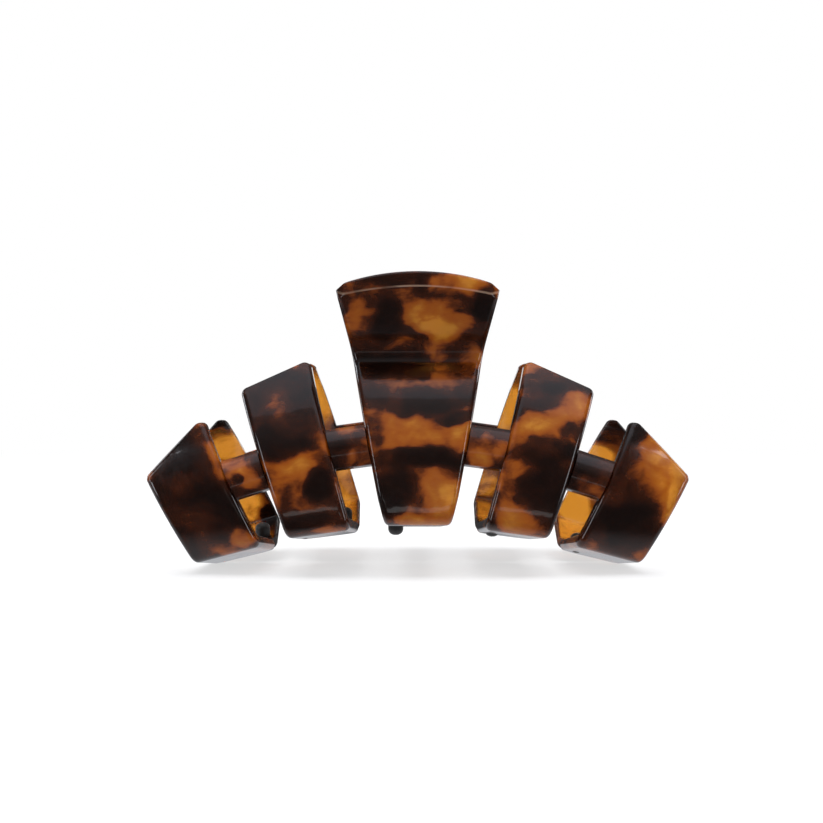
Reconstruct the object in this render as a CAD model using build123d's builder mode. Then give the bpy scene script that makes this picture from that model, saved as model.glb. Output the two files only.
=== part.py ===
"""Claw clip: two sprung jaws of five petals each, joined by short links and one hinge.

Units are millimetres.  +Z is up, +X runs along the clip and -Y is the front.
The origin is the centre of the footprint, on the surface that the tips stand on.
The back jaw is the front jaw turned half a turn about Z, as one mould makes both.
"""
from build123d import *
from math import cos, hypot, pi, radians, sin, sqrt
import os

os.makedirs("parts", exist_ok=True)

# ---------------------------------------------------------------- driving sizes
WALL = 3.0                # thickness of a petal's standing wall
SPLIT = 0.35              # each tip stops this far from the middle plane
EDGE_ROUND = 1.2          # round along the outer face's edges
INNER_EDGE_ROUND = 0.4    # round along a side petal's inner edges
TOP_CORNER_ROUND = 1.5    # round of the outline's top corners
CUT_DEPTH = 40.0          # deeper than any jaw
CUT_WIDTH = 40.0          # wider than any petal
SAME_SIZE = 0.01          # two radii closer than this are the same

# hook at the foot of each petal
HOOK_TIP = 1.9            # thickness at the tip
HOOK_SLOPE = 0.13         # fall of the underside towards the tip
HOOK_THICKEN = 0.03       # the upper face falls a little faster
HOOK_REACH = 6.0          # length past the middle plane, before the split is cut
CORNER_ROUND = 2.6        # where the wall's outer face turns under
KINK_ROUND = 1.0          # where the wall's inner face meets the hook
TIP_ROUND = 4.5           # the tip's corners, seen from above
CENTRE_TIP_ROUND = 3.5
FOOT_ROUND = 1.5          # the outer petals' outer corner, which the clip stands on
TIP_CUT_HEIGHT = 20.0

# standing wall of the centre and inner petals: an arc that leans in towards the top
WALL_RADIUS = 45.0        # inner face
WALL_CENTRE = (-25.1, 9.05)

# standing wall of the outer petals: a tighter arc, fullest part way up
OUTER_RADIUS = 28.0
OUTER_CENTRE = (-10.4, 11.0)
PETAL_TOPS = {"inner": 36.0, "outer": 33.0}

# handle: the centre petal flares out again above its waist
WAIST_Z = 44.4
WAIST_ROUND = 4.0
RIDGE_ROUND = 1.5
HANDLE_LEAN = radians(35)
HANDLE_LENGTH = 19.5      # before the top edge is shaped
CREST_OUTER = (16.1, 55.8)    # top edge of the outer face: height of its crown, radius
CREST_INNER = (19.1, 40.0)    # and of the inner face
CREST_CORNER_X = 14.8     # where the curved top turns down to its corners
CREST_CORNER_RUN = 6.0
CREST_CORNER_ROUND = 2.5
CREST_EDGE_ROUND = 0.7
CREST_CUT_MARGIN = 1.0    # how far the cut that shapes the crest runs past both faces

# half outline of the centre petal, from the foot up
CENTRE_FOOT = (6.5, 10.6)
CENTRE_KNEE = (7.85, 15.7)
CENTRE_WAIST = (13.8, 45.4)
CENTRE_CROWN = (18.2, 64.0)
KNEE_ROUND = 12.0

# hinge
PIVOT_Z = 39.0
PIN_RADIUS = 1.15
PIN_HALF_LENGTH = 9.8
PIN_CLEARANCE = 0.05      # radial, in the lugs that turn
LUG_RADIUS = 3.0
LUG_WIDTH = 2.4
OUTER_LUG_X = -8.6        # middle of the lug at one end of the pin
INNER_LUG_X = 6.0         # middle of the lug at the other end, inside its mate
LUG_ROOT = (33.5, 42.5)   # lowest and highest point of the lug's root on the wall
PIN_CHAMFER = 0.3

# spring
WIRE_RADIUS = 0.4
COIL_RADIUS = 2.2
COIL_PITCH = 0.95
COIL_WHOLE_TURNS = 6
LEG_LENGTH = 7.0
LEG_LEAN = radians(13)

# soft pegs through the tips, studs on the inner faces
PEG_RADIUS = 1.6
PEG_LENGTH = 4.2
PEG_END_ROUND = 1.3
BACK_PEG_LIFT = 1.2       # the back jaw's pegs are pressed in further
STUD_RADIUS = 1.1
STUD_INSET = 2.4          # from the petal's inner side

# links: lens-shaped bars between the petals' sides
LINK_HALF_HEIGHT = 4.3
LINK_BACK = -1.5          # flat rear face, outwards from the bar's middle
LINK_FRONT = 1.9          # fullest part of the rounded front face
LINK_TOP = -0.6           # front face at the top
LINK_FOOT = 0.7           # and at the foot
LINK_LEAN = radians(16)
LINK_EDGE_ROUND = 0.5

FRONT = 1
BACK = -1
RIGHT = 1
LEFT = -1
JAWS = {"front": FRONT, "back": BACK}
SIDES = {"left": LEFT, "right": RIGHT}


class Petal:
    """Outline, seen from the front, and the lie of one petal on the right-hand side."""

    def __init__(self, top_in, top_out, bottom_out, bottom_in, yaw, wall):
        self.top_in = top_in
        self.top_out = top_out
        self.bottom_out = bottom_out
        self.bottom_in = bottom_in
        self.yaw = radians(yaw)
        self.wall = wall
        run = bottom_out[0] - bottom_in[0]
        fall = bottom_in[1] - bottom_out[1]
        width = hypot(run, fall)
        self.roll = (run / width, fall / width)

    def side_x(self, z, side="in"):
        """Distance from the middle of one side of the outline at one height."""
        top, bottom = (self.top_in, self.bottom_in) if side == "in" else (self.top_out, self.bottom_out)
        return bottom[0] + (top[0] - bottom[0]) * (z - bottom[1]) / (top[1] - bottom[1])


PETALS = {
    "inner": Petal((22.6, 43.3), (36.8, 36.8), (25.6, 7.4), (12.9, 9.3), 8, (WALL_RADIUS, (-25.1, -0.25))),
    "outer": Petal((43.7, 31.4), (55.0, 19.2), (44.4, 1.3), (30.7, 5.1), 12, (OUTER_RADIUS, OUTER_CENTRE)),
}
# middle of each bar's ends: along the clip, outwards, up
LINKS = {
    "inner": ((10.1, 17.9, 26.1), (17.3, 17.6, 25.1)),
    "outer": ((31.3, 16.6, 21.0), (37.6, 17.4, 19.0)),
}
# where a peg passes through each hook: along the clip, outwards, lower end of the peg
PEGS = [(-4.6, 3.4, 6.3), (15.8, 3.8, 6.0), (-23.6, 7.4, 6.0), (33.8, 4.2, 2.6)]
STUD_HEIGHTS = {"inner": 2.9, "outer": 6.6}   # above the hook's outer corner


# ---------------------------------------------------------------- frames
def front_view(jaw):
    """The jaw's split plane: local x runs along the clip, local y is up, z is outwards."""
    return Plane(origin=(0, -jaw * SPLIT, 0), x_dir=(jaw, 0, 0), z_dir=(0, -jaw, 0))


def top_view(jaw, height=0.0):
    """A level plane, turned with the jaw: local -y is outwards."""
    return Plane(origin=(0, 0, height), x_dir=(jaw, 0, 0), z_dir=(0, 0, 1))


def side_view(jaw, x):
    """Across the clip at one x: local x is outwards and local y is the height."""
    return Plane(origin=(jaw * x, 0, 0), x_dir=(0, -jaw, 0), z_dir=(-jaw, 0, 0))


def petal_plane(jaw, side, petal):
    """Across a petal: local x is outwards, local y is up, from its inner bottom corner."""
    level, fall = petal.roll
    turn, lean = cos(petal.yaw), sin(petal.yaw)
    along = Vector(jaw * side * level * turn, jaw * level * lean, -fall)
    outwards = Vector(jaw * side * lean, -jaw * turn, 0)
    x, z = petal.bottom_in
    return Plane(origin=(jaw * side * x, 0, z), x_dir=outwards, z_dir=-side * along)


# ---------------------------------------------------------------- profiles
def arc_n(radius, centre, height):
    """Distance outwards of an arc at one height."""
    return centre[0] + sqrt(radius**2 - (height - centre[1]) ** 2)


def line_meets_arc(point, direction, radius, centre):
    """Far crossing of a line, given by a point and a unit direction, with an arc."""
    across, up = point[0] - centre[0], point[1] - centre[1]
    half = across * direction[0] + up * direction[1]
    reach = -half + sqrt(half**2 - (across**2 + up**2 - radius**2))
    return (point[0] + reach * direction[0], point[1] + reach * direction[1])


def hook_points(radius, centre, foot):
    """Outer corner, underside tip, upper tip and inner kink of a hook."""
    corner = (arc_n(radius + WALL, centre, foot), foot)
    tip_under = (-HOOK_REACH, foot - HOOK_SLOPE * (corner[0] + HOOK_REACH))
    tip_upper = (-HOOK_REACH, tip_under[1] + HOOK_TIP)
    rise = HOOK_SLOPE + HOOK_THICKEN
    direction = (1 / hypot(1, rise), rise / hypot(1, rise))
    kink = line_meets_arc(tip_upper, direction, radius, centre)
    return corner, tip_under, tip_upper, kink


def wall_arc(radius, centre, start, end):
    """Arc of a wall face between two points on it."""
    middle = (start[1] + end[1]) / 2
    ThreePointArc(start, (arc_n(radius, centre, middle), middle), end)


def round_corner(sketch, point, radius):
    """Round the sketch corner nearest to a point."""
    fillet(sketch.vertices().sort_by_distance(Vector(*point))[0], radius)


def petal_profile(plane, radius, centre, top):
    """Wall and hook of a side petal."""
    corner, tip_under, tip_upper, kink = hook_points(radius, centre, 0)
    top_outer = (arc_n(radius + WALL, centre, top), top)
    top_inner = (arc_n(radius, centre, top), top)
    with BuildSketch(plane) as profile:
        with BuildLine():
            Polyline(corner, tip_under, tip_upper, kink)
            wall_arc(radius, centre, kink, top_inner)
            Line(top_inner, top_outer)
            wall_arc(radius + WALL, centre, top_outer, corner)
        make_face()
        round_corner(profile, corner, CORNER_ROUND)
        round_corner(profile, kink, KINK_ROUND)
    return profile


def centre_profile(plane):
    """Hook, wall, waist and handle of the centre petal."""
    corner, tip_under, tip_upper, kink = hook_points(WALL_RADIUS, WALL_CENTRE, CENTRE_FOOT[1])
    waist = (arc_n(WALL_RADIUS + WALL, WALL_CENTRE, WAIST_Z), WAIST_Z)
    up = (sin(HANDLE_LEAN), cos(HANDLE_LEAN))
    top_outer = (waist[0] + HANDLE_LENGTH * up[0], waist[1] + HANDLE_LENGTH * up[1])
    top_inner = (top_outer[0] - WALL * up[1], top_outer[1] + WALL * up[0])
    ridge = line_meets_arc(top_inner, up, WALL_RADIUS, WALL_CENTRE)
    with BuildSketch(plane) as profile:
        with BuildLine():
            Polyline(corner, tip_under, tip_upper, kink)
            wall_arc(WALL_RADIUS, WALL_CENTRE, kink, ridge)
            Polyline(ridge, top_inner, top_outer, waist)
            wall_arc(WALL_RADIUS + WALL, WALL_CENTRE, waist, corner)
        make_face()
        round_corner(profile, corner, CORNER_ROUND)
        round_corner(profile, kink, KINK_ROUND)
        round_corner(profile, waist, WAIST_ROUND)
        round_corner(profile, ridge, RIDGE_ROUND)
    return profile


# ---------------------------------------------------------------- outlines and cutters
def keep_petal_outline(jaw, side, petal):
    """Keep what lies inside a side petal's outline, seen from the front."""
    corners = [petal.top_in, petal.top_out, (petal.side_x(0, "out"), 0), (petal.side_x(0), 0)]
    points = [(side * x, z) for x, z in corners]
    with BuildSketch(front_view(jaw)) as outline:
        with BuildLine():
            Polyline(*points, close=True)
        make_face()
        round_corner(outline, points[0], TOP_CORNER_ROUND)
        round_corner(outline, points[1], TOP_CORNER_ROUND)
    extrude(outline.sketch, amount=CUT_DEPTH, mode=Mode.INTERSECT)


def centre_foot_x(z):
    """Side of the centre petal's outline below its knee."""
    slope = (CENTRE_KNEE[0] - CENTRE_FOOT[0]) / (CENTRE_KNEE[1] - CENTRE_FOOT[1])
    return CENTRE_FOOT[0] + slope * (z - CENTRE_FOOT[1])


def keep_centre_outline(jaw):
    """Keep what lies inside the centre petal's outline, seen from the front."""
    half = [CENTRE_CROWN, CENTRE_WAIST, CENTRE_KNEE, (centre_foot_x(0), 0)]
    points = [(x, z) for x, z in half] + [(-x, z) for x, z in reversed(half)]
    with BuildSketch(front_view(jaw)) as outline:
        with BuildLine():
            Polyline(*points, close=True)
        make_face()
        for x, z in (CENTRE_WAIST, CENTRE_KNEE):
            round_corner(outline, (x, z), KNEE_ROUND)
            round_corner(outline, (-x, z), KNEE_ROUND)
    extrude(outline.sketch, amount=CUT_DEPTH, mode=Mode.INTERSECT)


def crest_cap(jaw, depth):
    """What lies beyond the handle's curved top edge, at one depth below the outer face."""
    waist_n = arc_n(WALL_RADIUS + WALL, WALL_CENTRE, WAIST_Z)
    outwards = Vector(0, -jaw * cos(HANDLE_LEAN), -sin(HANDLE_LEAN))
    origin = Vector(0, -jaw * waist_n, WAIST_Z) - outwards * depth
    plane = Plane(origin=origin, x_dir=(jaw, 0, 0), z_dir=outwards)
    share = depth / WALL
    crown, radius = (a + (b - a) * share for a, b in zip(CREST_OUTER, CREST_INNER))
    end = crown - radius + sqrt(radius**2 - CREST_CORNER_X**2)
    with BuildSketch(plane) as cap:
        with BuildLine():
            ThreePointArc((-CREST_CORNER_X, end), (0, crown), (CREST_CORNER_X, end))
            Polyline((CREST_CORNER_X, end), (CREST_CORNER_X + CREST_CORNER_RUN, end - CREST_CORNER_RUN),
                     (CREST_CORNER_X + CREST_CORNER_RUN, 2 * HANDLE_LENGTH),
                     (-CREST_CORNER_X - CREST_CORNER_RUN, 2 * HANDLE_LENGTH),
                     (-CREST_CORNER_X - CREST_CORNER_RUN, end - CREST_CORNER_RUN), (-CREST_CORNER_X, end))
        make_face()
        fillet([cap.vertices().sort_by_distance((side * CREST_CORNER_X, end))[0] for side in (-1, 1)],
               CREST_CORNER_ROUND)
    return cap


def round_tip(jaw, corner_x, outward, radius=TIP_ROUND):
    """Round one tip corner: outward is the way from the hook's middle to that corner."""
    middle = (corner_x - outward * radius, -SPLIT - radius)
    reach = 2 * radius
    with BuildSketch(top_view(jaw)) as cutter:
        with Locations((middle[0] + outward * reach / 2, middle[1] + reach / 2)):
            Rectangle(reach, reach)
        with Locations(middle):
            Circle(radius, mode=Mode.SUBTRACT)
    extrude(cutter.sketch, amount=TIP_CUT_HEIGHT, mode=Mode.SUBTRACT)


def wall_edges(piece, radius):
    """Edges of one face of the wall, without the straight one where it runs on into a round."""
    walls = [face for face in piece.faces().filter_by(GeomType.CYLINDER)
             if face.radius and abs(face.radius - radius) < SAME_SIZE]
    wall = ShapeList(walls).sort_by(SortBy.AREA)[-1]
    return wall.edges().filter_by(GeomType.LINE, reverse=True)


# ---------------------------------------------------------------- pieces of a jaw
def build_right_petal(jaw, kind):
    """The right one of a pair of side petals: a leaning wall with a hook at its foot."""
    petal = PETALS[kind]
    radius, centre = petal.wall
    right = SIDES["right"]
    with BuildPart() as piece:
        profile = petal_profile(petal_plane(jaw, right, petal), radius, centre, PETAL_TOPS[kind])
        extrude(profile.sketch, amount=CUT_WIDTH, both=True)
        keep_petal_outline(jaw, right, petal)
        fillet(wall_edges(piece, radius + WALL), EDGE_ROUND)
        tip_drop = HOOK_SLOPE * arc_n(radius, centre, 0)
        tip_in = petal.side_x(petal.bottom_in[1] - tip_drop)
        tip_out = petal.side_x(max(petal.bottom_out[1] - tip_drop, 0), "out")
        round_tip(jaw, tip_in, -right)
        round_tip(jaw, tip_out, right, FOOT_ROUND if kind == "outer" else TIP_ROUND)
        fillet(wall_edges(piece, radius), INNER_EDGE_ROUND)
    return piece


def build_petal(right_petal, side, pegs):
    """One side petal, the right one or its mirror image, pierced for its peg."""
    with BuildPart() as piece:
        if side == SIDES["right"]:
            add(right_petal.part)
        else:
            mirror(right_petal.part, about=Plane.YZ)
        add(pegs.part, mode=Mode.SUBTRACT)
    return piece


def build_centre(jaw, pegs):
    """The centre petal with its hook below and its handle above."""
    with BuildPart() as piece:
        profile = centre_profile(side_view(jaw, 0))
        extrude(profile.sketch, amount=CUT_WIDTH, both=True)
        keep_centre_outline(jaw)
        fillet(wall_edges(piece, WALL_RADIUS + WALL), EDGE_ROUND)
        for side in SIDES.values():
            round_tip(jaw, side * centre_foot_x(CENTRE_FOOT[1] - HOOK_TIP), side, CENTRE_TIP_ROUND)
        depths = (-CREST_CUT_MARGIN, WALL + CREST_CUT_MARGIN)
        caps = [crest_cap(jaw, depth).sketch.face() for depth in depths]
        loft(sections=caps, ruled=True, mode=Mode.SUBTRACT)
        fillet(piece.faces().sort_by(Axis.Z)[-1].edges(), CREST_EDGE_ROUND)
        add(pegs.part, mode=Mode.SUBTRACT)
    return piece


def build_pegs(jaw):
    """Soft round-ended pegs through the hooks."""
    lift = BACK_PEG_LIFT if jaw == BACK else 0
    with BuildPart() as pegs:
        for x, n, foot in PEGS:
            with BuildSketch(top_view(jaw, foot + lift)) as section:
                with Locations((x, -n)):
                    Circle(PEG_RADIUS)
            extrude(section.sketch, amount=PEG_LENGTH)
        fillet(pegs.edges().filter_by(GeomType.CIRCLE), PEG_END_ROUND)
    return pegs


def build_studs(jaw, petals):
    """Small domes on the petals' inner faces, near the side that faces the middle."""
    with BuildPart() as studs:
        for (side, kind), petal_piece in petals.items():
            petal = PETALS[kind]
            height = STUD_HEIGHTS[kind]
            inset = STUD_INSET + height * (petal.top_in[0] - petal.bottom_in[0]) / (
                petal.top_in[1] - petal.bottom_in[1])
            plane = petal_plane(jaw, side, petal)
            spot = plane.from_local_coords((arc_n(*petal.wall, height), height, -side * inset))
            with Locations(spot):
                Sphere(STUD_RADIUS)
            add(petal_piece.part, mode=Mode.SUBTRACT)
    return studs


def centre_side_x(z):
    """Side of the centre petal's outline between its knee and its waist."""
    share = (z - CENTRE_KNEE[1]) / (CENTRE_WAIST[1] - CENTRE_KNEE[1])
    return CENTRE_KNEE[0] + share * (CENTRE_WAIST[0] - CENTRE_KNEE[0])


def build_link(jaw, side, kind):
    """A short bar between two neighbouring petals, cut to their sides."""
    start, end = LINKS[kind]
    run = Vector(*(b - a for a, b in zip(start, end))).normalized()
    along = Vector(jaw * side * run.X, -jaw * run.Y, run.Z)
    middle = [(a + b) / 2 for a, b in zip(start, end)]
    origin = Vector(jaw * side * middle[0], -jaw * middle[1], middle[2])
    outwards = Vector(0, -jaw * cos(LINK_LEAN), sin(LINK_LEAN))
    plane = Plane(origin=origin, x_dir=outwards, z_dir=-side * along)
    low, high = middle[2] - 3 * LINK_HALF_HEIGHT / 2, middle[2] + 3 * LINK_HALF_HEIGHT / 2
    if kind == "inner":
        near = [(centre_side_x(z), z) for z in (low, high)]
        far = [(PETALS["inner"].side_x(z), z) for z in (high, low)]
    else:
        near = [(PETALS["inner"].side_x(z, "out"), z) for z in (low, high)]
        far = [(PETALS["outer"].side_x(z), z) for z in (high, low)]
    with BuildPart() as piece:
        with BuildSketch(plane) as lens:
            with BuildLine():
                ThreePointArc((LINK_TOP, LINK_HALF_HEIGHT), (LINK_FRONT, 0), (LINK_FOOT, -LINK_HALF_HEIGHT))
                Polyline((LINK_FOOT, -LINK_HALF_HEIGHT), (LINK_BACK, -LINK_HALF_HEIGHT),
                         (LINK_BACK, LINK_HALF_HEIGHT), (LINK_TOP, LINK_HALF_HEIGHT))
            make_face()
            fillet(lens.vertices(), LINK_EDGE_ROUND)
        extrude(lens.sketch, amount=CUT_WIDTH / 2, both=True)
        with BuildSketch(front_view(jaw)) as gap:
            with BuildLine():
                Polyline(*[(side * x, z) for x, z in near + far], close=True)
            make_face()
        extrude(gap.sketch, amount=CUT_DEPTH, mode=Mode.INTERSECT)
    return piece


def build_lugs(jaw, centre):
    """Two hinge lugs on the centre petal's inner face, bored for the pin."""
    bore = PIN_RADIUS + (PIN_CLEARANCE if jaw == FRONT else 0)
    low, high = [(arc_n(WALL_RADIUS, WALL_CENTRE, z) + WALL / 2, z) for z in LUG_ROOT]
    with BuildPart() as lugs:
        for x in (OUTER_LUG_X, INNER_LUG_X):
            plane = side_view(jaw, x)
            with BuildSketch(plane) as section:
                with BuildLine():
                    Polyline((0, PIVOT_Z - LUG_RADIUS), low, high, (0, PIVOT_Z + LUG_RADIUS), close=True)
                make_face()
                with Locations((0, PIVOT_Z)):
                    Circle(LUG_RADIUS)
                    Circle(bore, mode=Mode.SUBTRACT)
            extrude(section.sketch, amount=LUG_WIDTH / 2, both=True)
        add(centre.part, mode=Mode.SUBTRACT)
    return lugs


# ---------------------------------------------------------------- hinge hardware
def build_pin():
    """Steel pin through all four lugs."""
    with BuildPart() as pin:
        with BuildSketch(Plane(origin=(-PIN_HALF_LENGTH, 0, PIVOT_Z), x_dir=(0, 1, 0), z_dir=(1, 0, 0))):
            Circle(PIN_RADIUS)
        extrude(amount=2 * PIN_HALF_LENGTH)
        chamfer(pin.edges().filter_by(GeomType.CIRCLE), PIN_CHAMFER)
    return pin


def coil_point(angle):
    """Point and unit tangent of the coil's wire after turning by one angle."""
    rise = COIL_PITCH / (2 * pi)
    point = Vector(COIL_RADIUS * cos(angle), COIL_RADIUS * sin(angle), rise * angle)
    tangent = Vector(-COIL_RADIUS * sin(angle), COIL_RADIUS * cos(angle), rise).normalized()
    return point, tangent


def build_spring():
    """Torsion spring round the pin, with one leg up against each jaw's waist."""
    turns = COIL_WHOLE_TURNS + 0.5 - LEG_LEAN / pi
    length = turns * COIL_PITCH
    radial = Vector(0, -cos(LEG_LEAN), -sin(LEG_LEAN))
    start, start_way = coil_point(0)
    end, end_way = coil_point(2 * pi * turns)
    pin_frame = Plane(origin=(-length / 2, 0, PIVOT_Z), x_dir=radial, z_dir=(1, 0, 0))
    with BuildLine() as path:
        Line(start - start_way * LEG_LENGTH, start)
        Helix(pitch=COIL_PITCH, height=length, radius=COIL_RADIUS)
        Line(end, end + end_way * LEG_LENGTH)
    route = pin_frame.location * path.line
    with BuildPart() as spring:
        with BuildSketch(Plane(origin=route @ 0, z_dir=route % 0)) as wire:
            Circle(WIRE_RADIUS)
        sweep(wire.sketch, path=route)
    return spring


# ---------------------------------------------------------------- assembly
def write_piece(piece, label):
    """Name a finished piece and write it."""
    piece.part.label = label
    export_step(piece.part, f"parts/{label}.step")


def write_jaw(name, jaw):
    """Build and write every piece of one jaw."""
    pegs = build_pegs(jaw)
    write_piece(pegs, f"{name}_tip_pegs")
    centre = build_centre(jaw, pegs)
    write_piece(centre, f"{name}_centre_petal")
    write_piece(build_lugs(jaw, centre), f"{name}_hinge_lugs")
    petals = {}
    for kind in PETALS:
        right_petal = build_right_petal(jaw, kind)
        for side_name, side in SIDES.items():
            petals[(side, kind)] = build_petal(right_petal, side, pegs)
            write_piece(petals[(side, kind)], f"{name}_{side_name}_{kind}_petal")
            write_piece(build_link(jaw, side, kind), f"{name}_{side_name}_{kind}_link")
    write_piece(build_studs(jaw, petals), f"{name}_grip_studs")


for jaw_name, jaw_way in JAWS.items():
    write_jaw(jaw_name, jaw_way)
write_piece(build_pin(), "hinge_pin")
write_piece(build_spring(), "torsion_spring")
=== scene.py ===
"""Looks of the claw clip: mottled translucent plastic, soft black pegs and a sprung steel hinge.

Metres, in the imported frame: +Z up, +X along the clip, -Y towards the front jaw.
"""
import math

import bpy
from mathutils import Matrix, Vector


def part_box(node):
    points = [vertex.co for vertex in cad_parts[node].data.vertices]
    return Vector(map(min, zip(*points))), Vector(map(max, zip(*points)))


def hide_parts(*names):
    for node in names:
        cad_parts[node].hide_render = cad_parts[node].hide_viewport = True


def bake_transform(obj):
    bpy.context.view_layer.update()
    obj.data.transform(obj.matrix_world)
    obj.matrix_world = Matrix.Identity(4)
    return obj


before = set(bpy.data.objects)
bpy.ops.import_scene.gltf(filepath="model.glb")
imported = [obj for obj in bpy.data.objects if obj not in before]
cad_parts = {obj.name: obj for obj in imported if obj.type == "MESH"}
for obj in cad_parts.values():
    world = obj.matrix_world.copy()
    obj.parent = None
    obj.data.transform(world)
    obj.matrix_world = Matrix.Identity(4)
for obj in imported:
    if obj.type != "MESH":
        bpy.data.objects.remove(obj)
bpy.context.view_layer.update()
MM = 0.001
NOISE_SPREAD = (0.3, 0.7)     # where nearly all of a noise's values lie


# ---------------------------------------------------------------- node helpers
class Graph:
    """The node tree of a material or a world, with short calls to add nodes and join them."""

    def __init__(self, owner, out="ShaderNodeOutputMaterial"):
        self.owner = owner
        self.owner.use_nodes = True
        self.tree = self.owner.node_tree
        self.tree.nodes.clear()
        self.out = self.add(out)

    def add(self, kind, inputs=None, **settings):
        """One node: settings are its properties; inputs are numbers, or sockets to join."""
        node = self.tree.nodes.new(kind)
        for key, value in settings.items():
            setattr(node, key, value)
        for key, value in (inputs or {}).items():
            if isinstance(value, bpy.types.NodeSocket):
                self.tree.links.new(value, node.inputs[key])
            else:
                node.inputs[key].default_value = value
        return node

    def maths(self, operation, first, second=0.0, clamp=False):
        node = self.add("ShaderNodeMath", {0: first, 1: second}, operation=operation, use_clamp=clamp)
        return node.outputs[0]

    def vector_maths(self, operation, first, second):
        return self.add("ShaderNodeVectorMath", {0: first, 1: second}, operation=operation).outputs[0]

    def split(self, vector, axis):
        return self.add("ShaderNodeSeparateXYZ", {0: vector}).outputs[axis]

    def place(self):
        """Where a point of the surface is, in its object's own frame and in metres."""
        return self.add("ShaderNodeTexCoord").outputs["Object"]

    def noise(self, where, scale, seed=0.0, detail=2.0, roughness=0.5, distortion=0.0):
        return self.add("ShaderNodeTexNoise",
                        {"Vector": where, "W": seed, "Scale": scale, "Detail": detail,
                         "Roughness": roughness, "Distortion": distortion}, noise_dimensions="4D")

    def remap(self, value, low, high, to_low, to_high, smooth=False):
        return self.add("ShaderNodeMapRange",
                        {"Value": value, "From Min": low, "From Max": high,
                         "To Min": to_low, "To Max": to_high},
                        interpolation_type="SMOOTHSTEP" if smooth else "LINEAR").outputs[0]

    def ramp(self, value, stops, interpolation="B_SPLINE"):
        node = self.add("ShaderNodeValToRGB", {0: value})
        node.color_ramp.interpolation = interpolation
        elements = node.color_ramp.elements
        while len(elements) < len(stops):
            elements.new(0.5)
        for element, (position, colour) in zip(elements, stops):
            element.position = position
            element.color = (*colour, 1)
        return node.outputs[0]

    def mix_shaders(self, share, first, second):
        return self.add("ShaderNodeMixShader", {0: share, 1: first.outputs[0], 2: second.outputs[0]})

    def bump(self, height, strength, distance, under=None):
        """Normals of one bump, laid over another where one is given."""
        inputs = {"Strength": strength, "Distance": distance, "Height": height}
        if under is not None:
            inputs["Normal"] = under
        return self.add("ShaderNodeBump", inputs).outputs[0]

    def finish(self, shader):
        """Show a shader, and give back the finished material or world."""
        self.tree.links.new(shader.outputs[0], self.out.inputs[0])
        return self.owner


def new_material(name):
    return Graph(bpy.data.materials.new(name))


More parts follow.
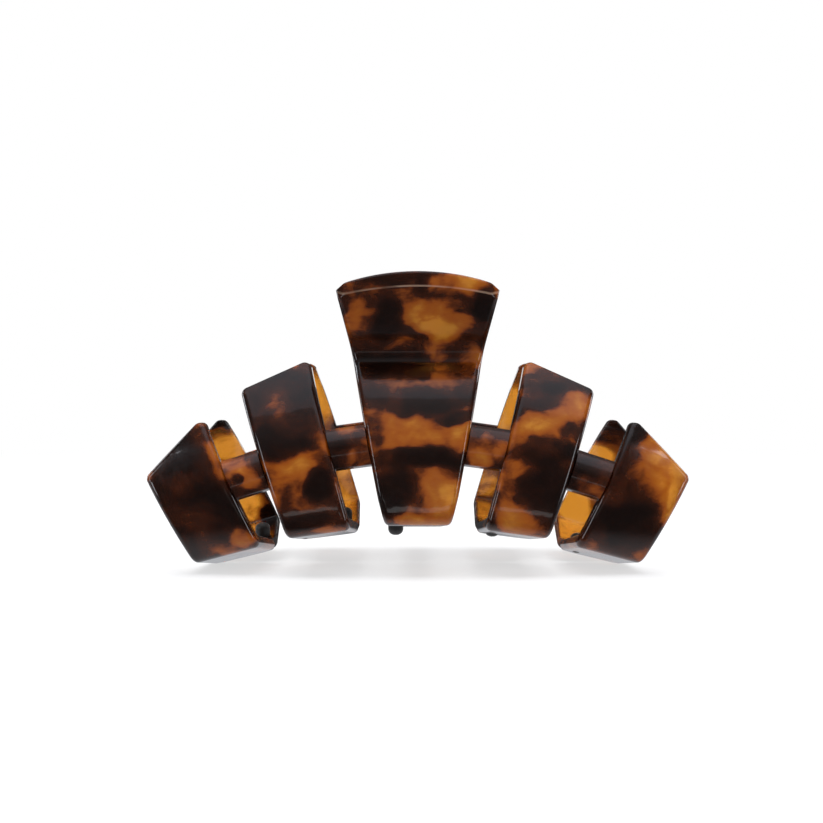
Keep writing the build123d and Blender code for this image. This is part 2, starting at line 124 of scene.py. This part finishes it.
# ---------------------------------------------------------------- mottled plastic
# Soft patches on top of the random mottling: (x, z, half width, half height, strength) in mm.
# A positive strength is clear amber and a negative one is dark.
PATCHES = {
    "front_centre_petal": [
        (4.0, 51.0, 7.0, 4.4, 0.34), (4.5, 48.4, 4.4, 1.8, 0.16), (-6.5, 51.5, 3.8, 5.0, -0.26),
        (-13.8, 51.5, 2.0, 5.0, 0.26), (7.5, 57.8, 5.5, 2.2, 0.26), (-6.0, 59.4, 7.0, 1.6, -0.22),
        (12.6, 54.0, 2.4, 3.6, -0.22), (-4.5, 42.2, 8.5, 3.2, -0.36), (8.8, 42.5, 4.0, 3.2, -0.22),
        (-6.0, 35.5, 6.0, 4.0, -0.14), (0.0, 35.0, 12.0, 3.0, -0.22), (1.6, 28.8, 7.0, 4.4, 0.20),
        (8.0, 31.0, 3.4, 1.6, -0.34), (0.0, 23.2, 10.0, 2.2, -0.32), (-6.0, 17.0, 4.8, 5.4, -0.26),
        (4.6, 16.6, 3.6, 4.8, 0.20), (8.6, 28.0, 2.0, 5.0, 0.14), (-8.6, 26.0, 2.6, 6.5, -0.24),
        (0.0, 10.8, 7.5, 1.5, 0.26),
    ],
    "front_left_inner_petal": [
        (-29.3, 33.5, 4.0, 3.6, 0.02), (-25.0, 38.0, 7.0, 3.4, -0.22), (-27.0, 26.6, 6.0, 3.2, -0.28),
        (-25.6, 18.4, 6.0, 6.8, 0.18), (-19.4, 18.5, 2.6, 3.0, -0.36), (-22.3, 11.6, 4.4, 2.2, -0.30),
    ],
    "front_left_outer_petal": [
        (-44.0, 13.0, 7.0, 7.0, -0.10), (-48.6, 19.0, 4.4, 2.6, 0.14), (-34.8, 7.4, 3.4, 2.6, 0.32),
        (-40.6, 26.0, 3.0, 2.8, 0.12), (-40.0, 18.5, 3.0, 3.0, 0.06),
    ],
    "front_right_inner_petal": [
        (24.4, 29.4, 5.4, 2.8, 0.34), (31.0, 32.6, 4.2, 3.4, 0.30), (27.0, 38.8, 8.0, 3.6, -0.32),
        (26.4, 24.0, 7.0, 2.4, -0.26), (26.0, 17.0, 5.4, 4.6, -0.18), (19.6, 12.6, 4.0, 3.0, 0.16),
    ],
    "front_right_outer_petal": [
        (48.0, 21.0, 7.4, 6.6, 0.34), (51.0, 12.5, 2.6, 5.0, 0.26), (43.6, 15.5, 3.6, 3.8, -0.14),
        (46.0, 25.0, 4.0, 4.0, 0.18), (42.6, 7.0, 6.4, 3.4, -0.08), (43.0, 27.6, 4.0, 2.6, -0.20),
    ],
    "back_right_outer_petal": [(-43.8, 23.5, 6.0, 5.0, 0.40), (-44.0, 30.5, 6.0, 2.4, -0.40),
                               (-39.6, 11.0, 4.6, 5.0, 0.40), (-33.6, 8.5, 2.4, 3.0, -0.30)],
    "back_right_inner_petal": [(-22.4, 34.0, 4.4, 8.0, 0.38), (-15.8, 15.0, 4.6, 7.0, 0.36)],
    "back_left_inner_petal": [(20.8, 33.0, 4.4, 8.0, 0.38), (16.2, 15.0, 4.6, 6.0, 0.36)],
    "back_left_outer_petal": [(44.0, 26.5, 5.0, 3.0, -0.10), (41.0, 21.0, 5.0, 3.4, 0.30),
                              (37.2, 10.0, 5.4, 5.4, 0.40)],
    "front_left_outer_link": [(-34.2, 19.5, 4.0, 3.6, 0.28), (-36.0, 19.2, 1.6, 1.8, -0.30)],
    "front_right_outer_link": [(34.0, 18.0, 2.4, 2.4, 0.18), (34.0, 22.0, 4.0, 2.0, -0.12)],
    "front_left_inner_link": [(-15.5, 24.6, 2.6, 2.0, 0.14), (-14.0, 27.6, 4.0, 2.0, -0.14)],
    "front_right_inner_link": [(12.4, 23.4, 2.6, 2.2, 0.22), (15.0, 27.6, 4.0, 2.0, -0.12)],
}
PATCH_EDGE = (0.50, 1.30)     # shares of a patch's size: it is whole up to the first, and gone at the second
PATCH_WEIGHT = {"front": 1.25, "back": 1.6}
BACKLIGHT_LIFT = {"front": 0.0, "back": 0.03}             # painted backlight: the back jaw's colour is lifted a little towards clear amber
CLEAREST = {"front": 0.50, "back": 0.85}        # most that light passes through
TONES = [(0.0, (0.0045, 0.0014, 0.0008)), (0.22, (0.0100, 0.0026, 0.0011)), (0.42, (0.030, 0.0062, 0.0016)),
         (0.50, (0.080, 0.016, 0.0024)), (0.61, (0.25, 0.056, 0.0040)), (0.82, (0.37, 0.098, 0.006)),
         (1.0, (0.80, 0.330, 0.032))]
# Noise scales are features per metre.
CLOUDS = {"scale": 82, "detail": 3, "distortion": 0.35}
CLOUD_RANGE = (-0.02, 0.88)
FLECKS = {"scale": 620, "detail": 6, "roughness": 0.72}
FLECK_RANGE = (-0.09, 0.09)
FLECK_STRETCH = (0.45, 1, 1)
SWIRLS = {"scale": 85, "detail": 2.5}
SWAY = 9 * MM                 # how far the swirls carry the clouds
RIPPLE_DEPTH = 0.9 * MM
GRAIN_DEPTH = 0.05 * MM
# Painted highlight: a thin pale line along the rounded edge at the foot of the handle's crest, broken up by
# noise.
CREST_HIGHLIGHT_TINT = (0.62, 0.42, 0.30, 1)
CREST_HIGHLIGHT_SHARE = (0.08, 0.34)
CREST_LINE = 16.1 * MM        # from the waist up to the crown of the rounded crest edge
CREST_LINE_WIDTH = 0.26 * MM
CREST_RADIUS = 55.8 * MM
HANDLE_LEAN = math.radians(35)
WAIST_OUT = 7.37 * MM
WAIST_HEIGHT = 44.4 * MM


def crest_highlight_line(g, place, jaw):
    """Mask of the painted highlight: 1 along the rounded edge at the foot of the handle's crest, else 0."""
    way = 1 if jaw == "back" else -1
    from_waist = g.vector_maths("SUBTRACT", place, (0, way * WAIST_OUT, WAIST_HEIGHT))
    up = (0, way * math.sin(HANDLE_LEAN), math.cos(HANDLE_LEAN))
    along = g.add("ShaderNodeVectorMath", {0: from_waist, 1: up}, operation="DOT_PRODUCT").outputs["Value"]
    across = g.split(from_waist, "X")
    sag = g.maths("DIVIDE", g.maths("MULTIPLY", across, across), 2 * CREST_RADIUS)
    off = g.maths("ABSOLUTE", g.maths("SUBTRACT", g.maths("ADD", along, sag), CREST_LINE))
    return g.remap(off, 0.0, CREST_LINE_WIDTH, 1.0, 0.0, smooth=True)


def mottling(g, swirled, name, jaw, seed):
    """Random clouds and flecks with the piece's own patches on top: 0 is dark and 1 is clear amber."""
    clouds = g.noise(swirled, seed=seed, **CLOUDS).outputs[0]
    stretched = g.vector_maths("MULTIPLY", swirled, FLECK_STRETCH)
    flecks = g.noise(stretched, seed=seed + 3, **FLECKS).outputs[0]
    value = g.remap(clouds, *NOISE_SPREAD, *CLOUD_RANGE)
    value = g.maths("ADD", value, g.remap(flecks, *NOISE_SPREAD, *FLECK_RANGE))
    # Painted backlight: the back jaw's value is lifted a little.
    value = g.maths("ADD", value, BACKLIGHT_LIFT[jaw])
    for x, z, half_width, half_height, strength in PATCHES.get(name, ()):
        away = g.vector_maths("SUBTRACT", swirled, (x * MM, 0, z * MM))
        away = g.vector_maths("MULTIPLY", away, (1 / (half_width * MM), 0, 1 / (half_height * MM)))
        distance = g.add("ShaderNodeVectorMath", {0: away}, operation="LENGTH").outputs["Value"]
        patch = g.remap(distance, *PATCH_EDGE, PATCH_WEIGHT[jaw] * strength, 0.0, smooth=True)
        value = g.maths("ADD", value, patch)
    return value


def mottled_plastic(name, seed):
    """Polished, partly clear plastic with soft dark clouds in amber."""
    g = new_material(name)
    jaw = name.split("_")[0]
    place = g.place()
    sway = g.noise(place, seed=seed, **SWIRLS).outputs["Color"]
    sway = g.vector_maths("SUBTRACT", sway, (0.5, 0.5, 0.5))
    sway = g.add("ShaderNodeVectorMath", {0: sway, "Scale": SWAY}, operation="SCALE").outputs[0]
    value = mottling(g, g.vector_maths("ADD", place, sway), name, jaw, seed)
    colour = g.ramp(value, TONES)
    if name.endswith("centre_petal"):
        # Painted highlight along the crest's rounded edge, broken up by noise and mixed into the colour.
        highlight_breakup = g.noise(place, 150, seed + 11, detail=3).outputs[0]
        faint = g.remap(highlight_breakup, 0.38, 0.62, *CREST_HIGHLIGHT_SHARE)
        line = g.maths("MULTIPLY", crest_highlight_line(g, place, jaw), faint)
        colour = g.add("ShaderNodeMix", {0: line, 6: colour, 7: CREST_HIGHLIGHT_TINT}, data_type="RGBA").outputs[2]
    haze = g.noise(place, 900, seed, detail=4, roughness=0.65).outputs[0]
    waves = g.noise(place, 130, seed + 7, detail=2).outputs[0]
    scuffs = g.noise(g.vector_maths("MULTIPLY", place, (0.25, 1, 1)), 2600, seed, detail=3).outputs[0]
    surface = g.bump(scuffs, 0.03, GRAIN_DEPTH, under=g.bump(waves, 0.10, RIPPLE_DEPTH))
    clear = g.remap(value, 0.42, 1.02, 0.03, CLEAREST[jaw], smooth=True)
    return g.finish(g.add("ShaderNodeBsdfPrincipled", {
        "Base Color": colour, "Roughness": g.remap(haze, 0.35, 0.65, 0.16, 0.26), "IOR": 1.47,
        "Normal": surface, "Transmission Weight": clear, "Subsurface Weight": 0.15,
        "Subsurface Radius": (1.0, 0.36, 0.10), "Subsurface Scale": 2.2 * MM,
        "Specular IOR Level": 0.3, "Coat Weight": 0.8, "Coat Roughness": 0.04, "Coat IOR": 1.5,
        "Coat Normal": surface}))


# ---------------------------------------------------------------- rubber and steel
def soft_rubber(name):
    """Matt black rubber with a fine grain and a little dust."""
    g = new_material(name)
    place = g.place()
    grain = g.noise(place, 3800, detail=4, roughness=0.6).outputs[0]
    dust = g.noise(place, 700, 4.0, detail=5, roughness=0.7).outputs[0]
    return g.finish(g.add("ShaderNodeBsdfPrincipled", {
        "Base Color": g.ramp(dust, [(0.42, (0.006, 0.0055, 0.0055)), (0.75, (0.03, 0.026, 0.024))]),
        "Roughness": g.remap(grain, *NOISE_SPREAD, 0.34, 0.52), "Normal": g.bump(grain, 0.25, GRAIN_DEPTH),
        "Sheen Weight": 0.15}))


def drawn_steel(name, tone, stretch):
    """Bright steel with drawing lines along the wire or the pin."""
    g = new_material(name)
    place = g.place()
    lines = g.noise(g.vector_maths("MULTIPLY", place, stretch), 2600, detail=5, roughness=0.6).outputs[0]
    stain = g.noise(place, 420, 2.0, detail=4, roughness=0.6).outputs[0]
    stained = tuple(tone * share for share in (0.72, 0.70, 0.68))
    return g.finish(g.add("ShaderNodeBsdfPrincipled", {
        "Base Color": g.ramp(stain, [(0.35, stained), (0.65, (tone, tone, tone * 1.02))]),
        "Metallic": 1.0, "Roughness": g.remap(lines, *NOISE_SPREAD, 0.18, 0.36),
        "Normal": g.bump(lines, 0.18, 0.02 * MM)}))


def show(name, data):
    """A new object in the scene."""
    obj = bpy.data.objects.new(name, data)
    bpy.context.collection.objects.link(obj)
    return obj


def paint(obj, material):
    for index in range(max(1, len(obj.material_slots))):
        if index >= len(obj.material_slots):
            obj.data.materials.append(material)
        else:
            obj.material_slots[index].material = material


def paint_nodes():
    """Give every CAD node its material."""
    rubber = soft_rubber("peg_rubber")
    steel = drawn_steel("pin_steel", 0.62, (0.08, 1, 1))
    for index, (name, obj) in enumerate(sorted(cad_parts.items())):
        if name.endswith("tip_pegs"):
            paint(obj, rubber)
        elif name == "hinge_pin":
            paint(obj, steel)
        elif name != "torsion_spring":
            paint(obj, mottled_plastic(name, 1.7 * index))


# ---------------------------------------------------------------- spring
pin_low, pin_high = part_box("hinge_pin")
PIVOT = (Vector(pin_low) + Vector(pin_high)) / 2
WIRE_RADIUS = 0.4 * MM
COIL_RADIUS = 2.2 * MM
COIL_PITCH = 0.95 * MM
LEG_LEAN = math.radians(13)
LEG_LENGTH = 7 * MM
TURNS = 6.5 - LEG_LEAN / math.pi      # so that both legs lean alike
COIL_LENGTH = COIL_PITCH * TURNS
STEPS_PER_TURN = 40
LEG_STEPS = 10


def spring_route():
    """Points along the wire: a leg, the coil round the pin, and the other leg."""
    def at(angle):
        turned = Vector((0, -math.cos(angle + LEG_LEAN), -math.sin(angle + LEG_LEAN)))
        along = COIL_PITCH * angle / math.tau - COIL_LENGTH / 2
        return PIVOT + turned * COIL_RADIUS + Vector((along, 0, 0))

    total = TURNS * math.tau
    count = round(TURNS * STEPS_PER_TURN)
    coil = [at(total * step / count) for step in range(count + 1)]
    first_way = (coil[0] - coil[1]).normalized()
    last_way = (coil[-1] - coil[-2]).normalized()
    first = [coil[0] + first_way * LEG_LENGTH * step / LEG_STEPS for step in range(LEG_STEPS, 0, -1)]
    last = [coil[-1] + last_way * LEG_LENGTH * step / LEG_STEPS for step in range(1, LEG_STEPS + 1)]
    return first + coil + last


def add_spring():
    """The torsion spring: one wire, turned smoothly round the pin from one jaw to the other."""
    route = spring_route()
    curve = bpy.data.curves.new("spring_wire", "CURVE")
    curve.dimensions = "3D"
    curve.bevel_depth = WIRE_RADIUS
    curve.bevel_resolution = 4
    curve.use_fill_caps = True
    line = curve.splines.new("POLY")
    line.points.add(len(route) - 1)
    for point, place in zip(line.points, route):
        point.co = (*place, 1)
    holder = show("spring_wire_line", curve)
    mesh = bpy.data.meshes.new_from_object(holder.evaluated_get(bpy.context.evaluated_depsgraph_get()))
    bpy.data.objects.remove(holder)
    mesh.materials.clear()
    mesh.polygons.foreach_set("use_smooth", [True] * len(mesh.polygons))
    spring = show("spring_wire", mesh)
    paint(spring, drawn_steel("spring_steel", 0.5, (1, 1, 1)))
    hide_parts("torsion_spring")
    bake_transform(spring)


# ---------------------------------------------------------------- studio
CAMERA_AT = Vector((-1.26, -233.0, 35.9)) * MM
CAMERA_PITCH = math.radians(0.870)    # down from level
SENSOR_MM = 36.0
LENS_MM = 47.504
WHITE = (1, 1, 1, 1)
SKY = [(0.0, 0.035), (0.55, 0.05), (1.0, 0.34)]   # the dim room, from the horizon to straight up
TABLE_TONE = (0.80, 0.80, 0.81, 1)
TABLE_RADIUS = 6.0
TABLE_SIDES = 96
TABLE_DROP = 0.02 * MM
TABLE_FADE = (0.10, 0.50)     # from the middle: where the table starts and ends turning into plain white
BRIGHT_STRIP = (0.020, 0.036)     # either side of the middle: where the strip starts and ends fading
LIT_POINT = Vector((0, 0, 0.03))
COOL_SKY = (0.80, 0.84, 1.0)
COOL_WHITE = (0.92, 0.94, 1.0)


def add_camera():
    """A nearly level view from the front, a little above the clip's middle."""
    data = bpy.data.cameras.new("photo_camera")
    data.sensor_width = SENSOR_MM
    data.lens = LENS_MM
    data.clip_start = 0.01
    camera = show("photo_camera", data)
    camera.location = CAMERA_AT
    camera.rotation_euler = (math.pi / 2 - CAMERA_PITCH, 0, 0)
    bpy.context.scene.camera = camera


def add_world():
    """White to the eye and through the plastic; a dim room with a bright sky for reflections."""
    g = Graph(bpy.data.worlds.new("studio"), "ShaderNodeOutputWorld")
    rays = g.add("ShaderNodeLightPath").outputs
    seen = g.maths("MAXIMUM", rays["Is Camera Ray"], rays["Is Transmission Ray"])
    height = g.split(g.add("ShaderNodeTexCoord").outputs["Generated"], "Z")
    sky = [(position, (level * 0.94, level * 0.96, level)) for position, level in SKY]
    dim = g.add("ShaderNodeBackground", {"Color": g.ramp(height, sky, "LINEAR")})
    white = g.add("ShaderNodeBackground", {"Color": WHITE, "Strength": 1.0})
    bpy.context.scene.world = g.finish(g.mix_shaders(seen, dim, white))


def table_material():
    """Matt white that runs into the white beyond; a mirrored table is dull but for a strip under the clip."""
    g = new_material("white_table")
    place = g.place()
    tooth = g.noise(place, 900, detail=3).outputs[0]
    plain = g.add("ShaderNodeBsdfDiffuse", {"Color": TABLE_TONE, "Normal": g.bump(tooth, 0.02, GRAIN_DEPTH)})
    glow = g.add("ShaderNodeEmission", {"Color": WHITE, "Strength": 1.0})
    away = g.add("ShaderNodeVectorMath", {0: place}, operation="LENGTH").outputs["Value"]
    seen = g.mix_shaders(g.remap(away, *TABLE_FADE, 0.62, 1.0, smooth=True), plain, glow)
    from_middle = g.maths("ABSOLUTE", g.split(place, "Y"))
    level = g.remap(from_middle, *BRIGHT_STRIP, 0.60, 0.05, smooth=True)
    dull = g.add("ShaderNodeEmission", {"Color": (0.93, 0.95, 1.0, 1), "Strength": level})
    rays = g.add("ShaderNodeLightPath").outputs
    mirrored = g.maths("SUBTRACT", rays["Is Glossy Ray"], rays["Is Transmission Ray"], clamp=True)
    return g.finish(g.mix_shaders(mirrored, seen, dull))


def add_floor():
    """A wide round table, just under the tips that the clip stands on."""
    angles = [math.tau * step / TABLE_SIDES for step in range(TABLE_SIDES)]
    rim = [(TABLE_RADIUS * math.cos(angle), TABLE_RADIUS * math.sin(angle), 0) for angle in angles]
    mesh = bpy.data.meshes.new("table")
    mesh.from_pydata(rim, [], [list(range(TABLE_SIDES))])
    floor = show("table", mesh)
    floor.location.z = -TABLE_DROP
    paint(floor, table_material())


def add_light(name, place, size, power, tint=(1, 1, 1), mirrored=True):
    """A soft box turned to the clip; one that is not mirrored leaves no highlight of its own."""
    data = bpy.data.lights.new(name, "AREA")
    data.shape = "RECTANGLE"
    data.size, data.size_y = size
    data.energy = power
    data.color = tint
    light = show(name, data)
    light.location = place
    light.rotation_euler = (LIT_POINT - Vector(place)).to_track_quat("-Z", "Y").to_euler()
    light.visible_glossy = mirrored


def add_lights():
    """A broad key from above, and the dimmer boxes that the polished faces mirror."""
    add_light("key", (0, 0, 0.88), size=(1.0, 0.8), power=13.0, mirrored=False)
    for way in (-1, 1):
        add_light(f"fill_{way}", (0, way * 0.8, 0.35), size=(0.9, 0.5), power=2.6, mirrored=False)
        add_light(f"thin_line_{way}", (0, way * 0.9, 0.10), size=(0.9, 0.03), power=0.09)
    add_light("mirrored_top", (0, 0, 0.85), size=(1.0, 0.76), power=0.9, tint=COOL_SKY)
    for side in (-1, 1):
        for way in (-1, 1):
            place = (side * 0.75, way * 0.42, 0.22)
            add_light(f"side_{side}_{way}", place, size=(0.16, 0.55), power=1.2, tint=COOL_WHITE)


paint_nodes()
add_spring()
add_camera()
add_world()
add_floor()
add_lights()
bpy.context.scene.view_settings.view_transform = "Standard"
